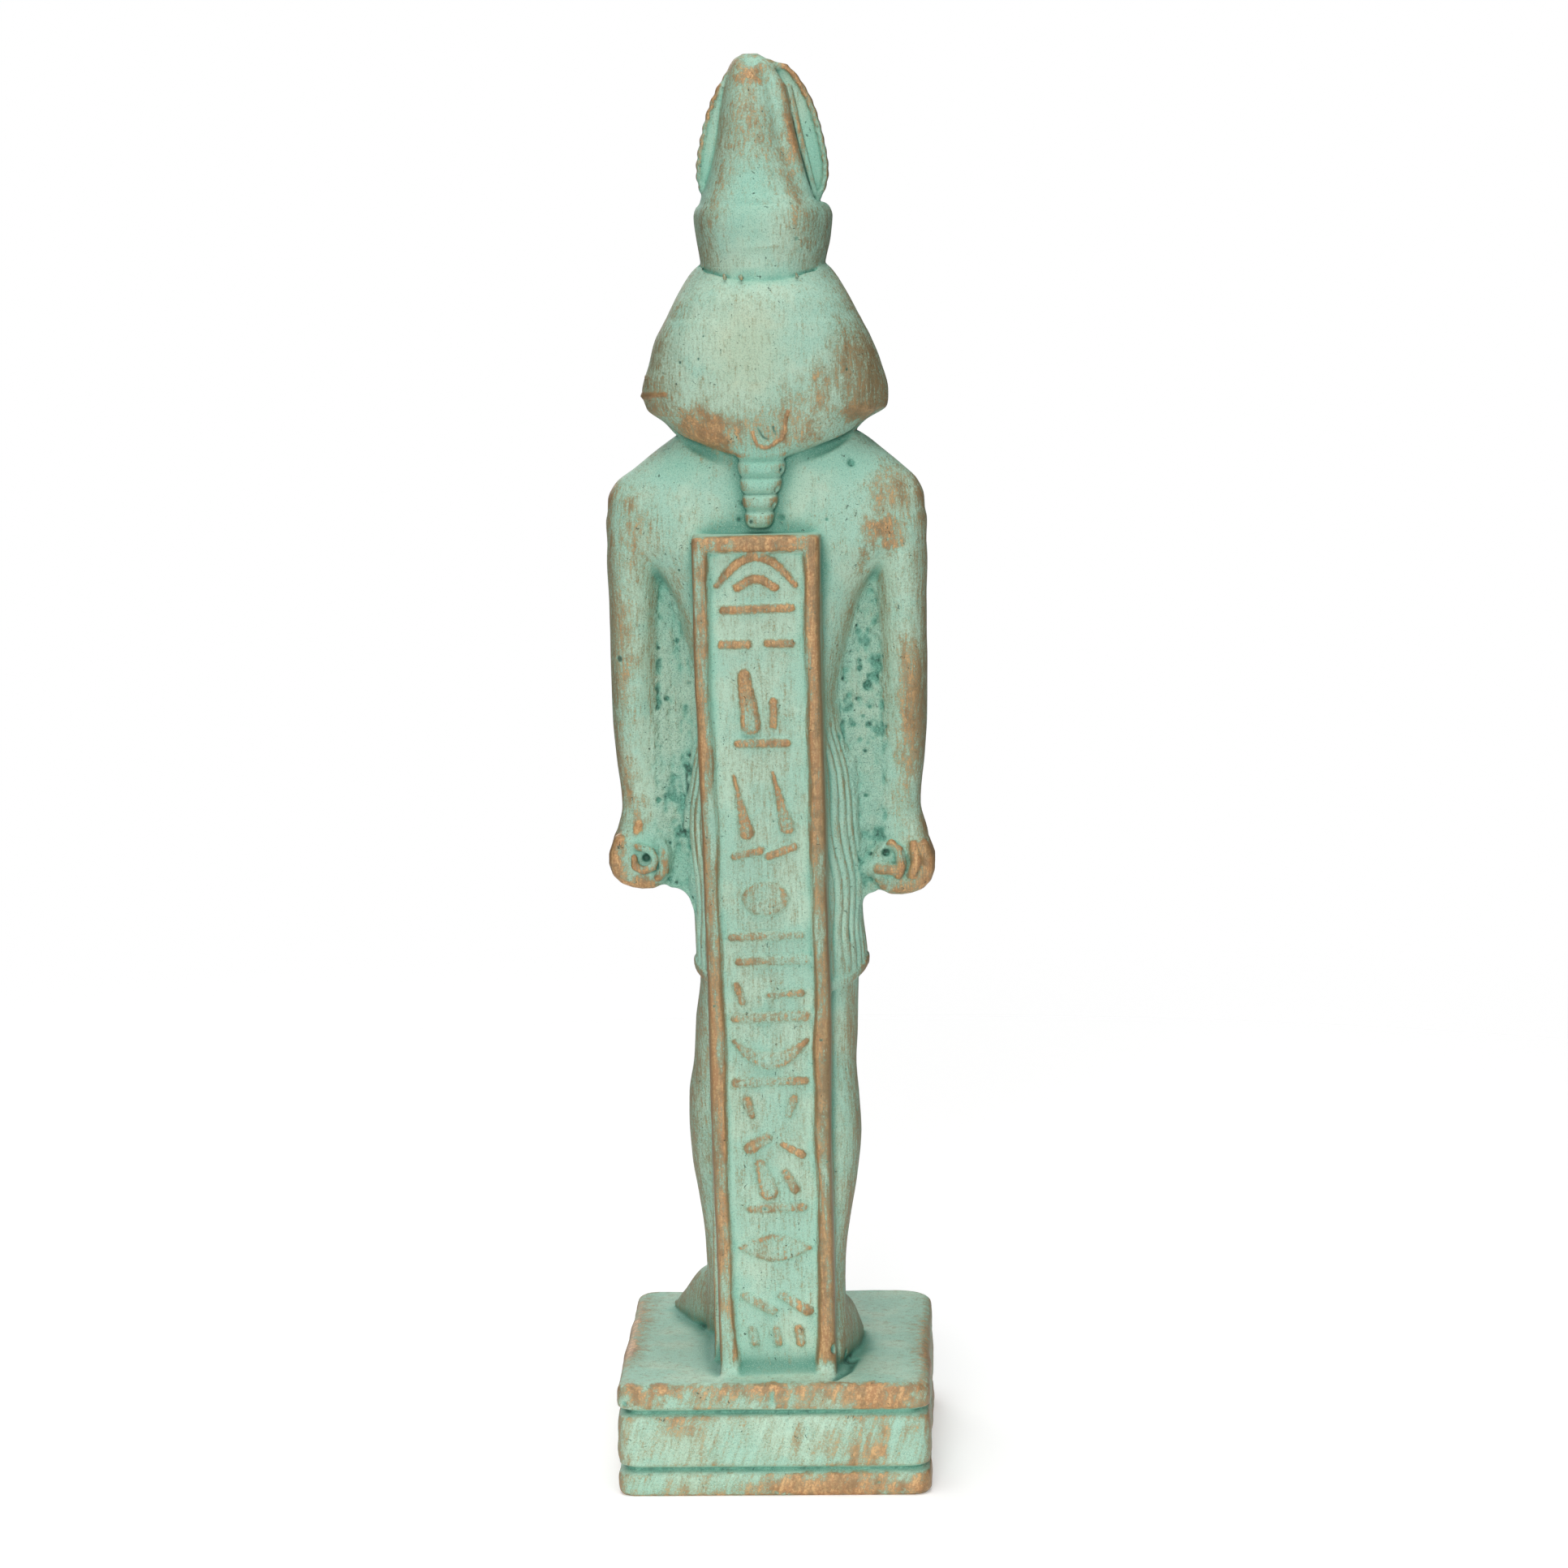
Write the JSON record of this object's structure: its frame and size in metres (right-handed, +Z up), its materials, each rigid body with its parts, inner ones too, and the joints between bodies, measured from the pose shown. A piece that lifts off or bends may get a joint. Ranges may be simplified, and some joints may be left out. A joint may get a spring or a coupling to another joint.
{
  "type": "egyptian deity figurine",
  "caption": "Striding crowned deity figure with headcloth and pleated kilt, fists at its sides, a back pillar with raised strokes, on a stepped plinth, cast in one piece.",
  "frame": {"origin": "centre of the plinth's flat underside, on the surface that the figurine stands on", "axes": "+Z up through the crown, -Y is the way the figure faces, +X is the figure's left"},
  "size_m": [0.0458, 0.057, 0.2],
  "materials": {
    "patinated_cast": "matte"
  },
  "bodies": {
    "root": {"figurine": "patinated_cast"}
  },
  "joints": []
}
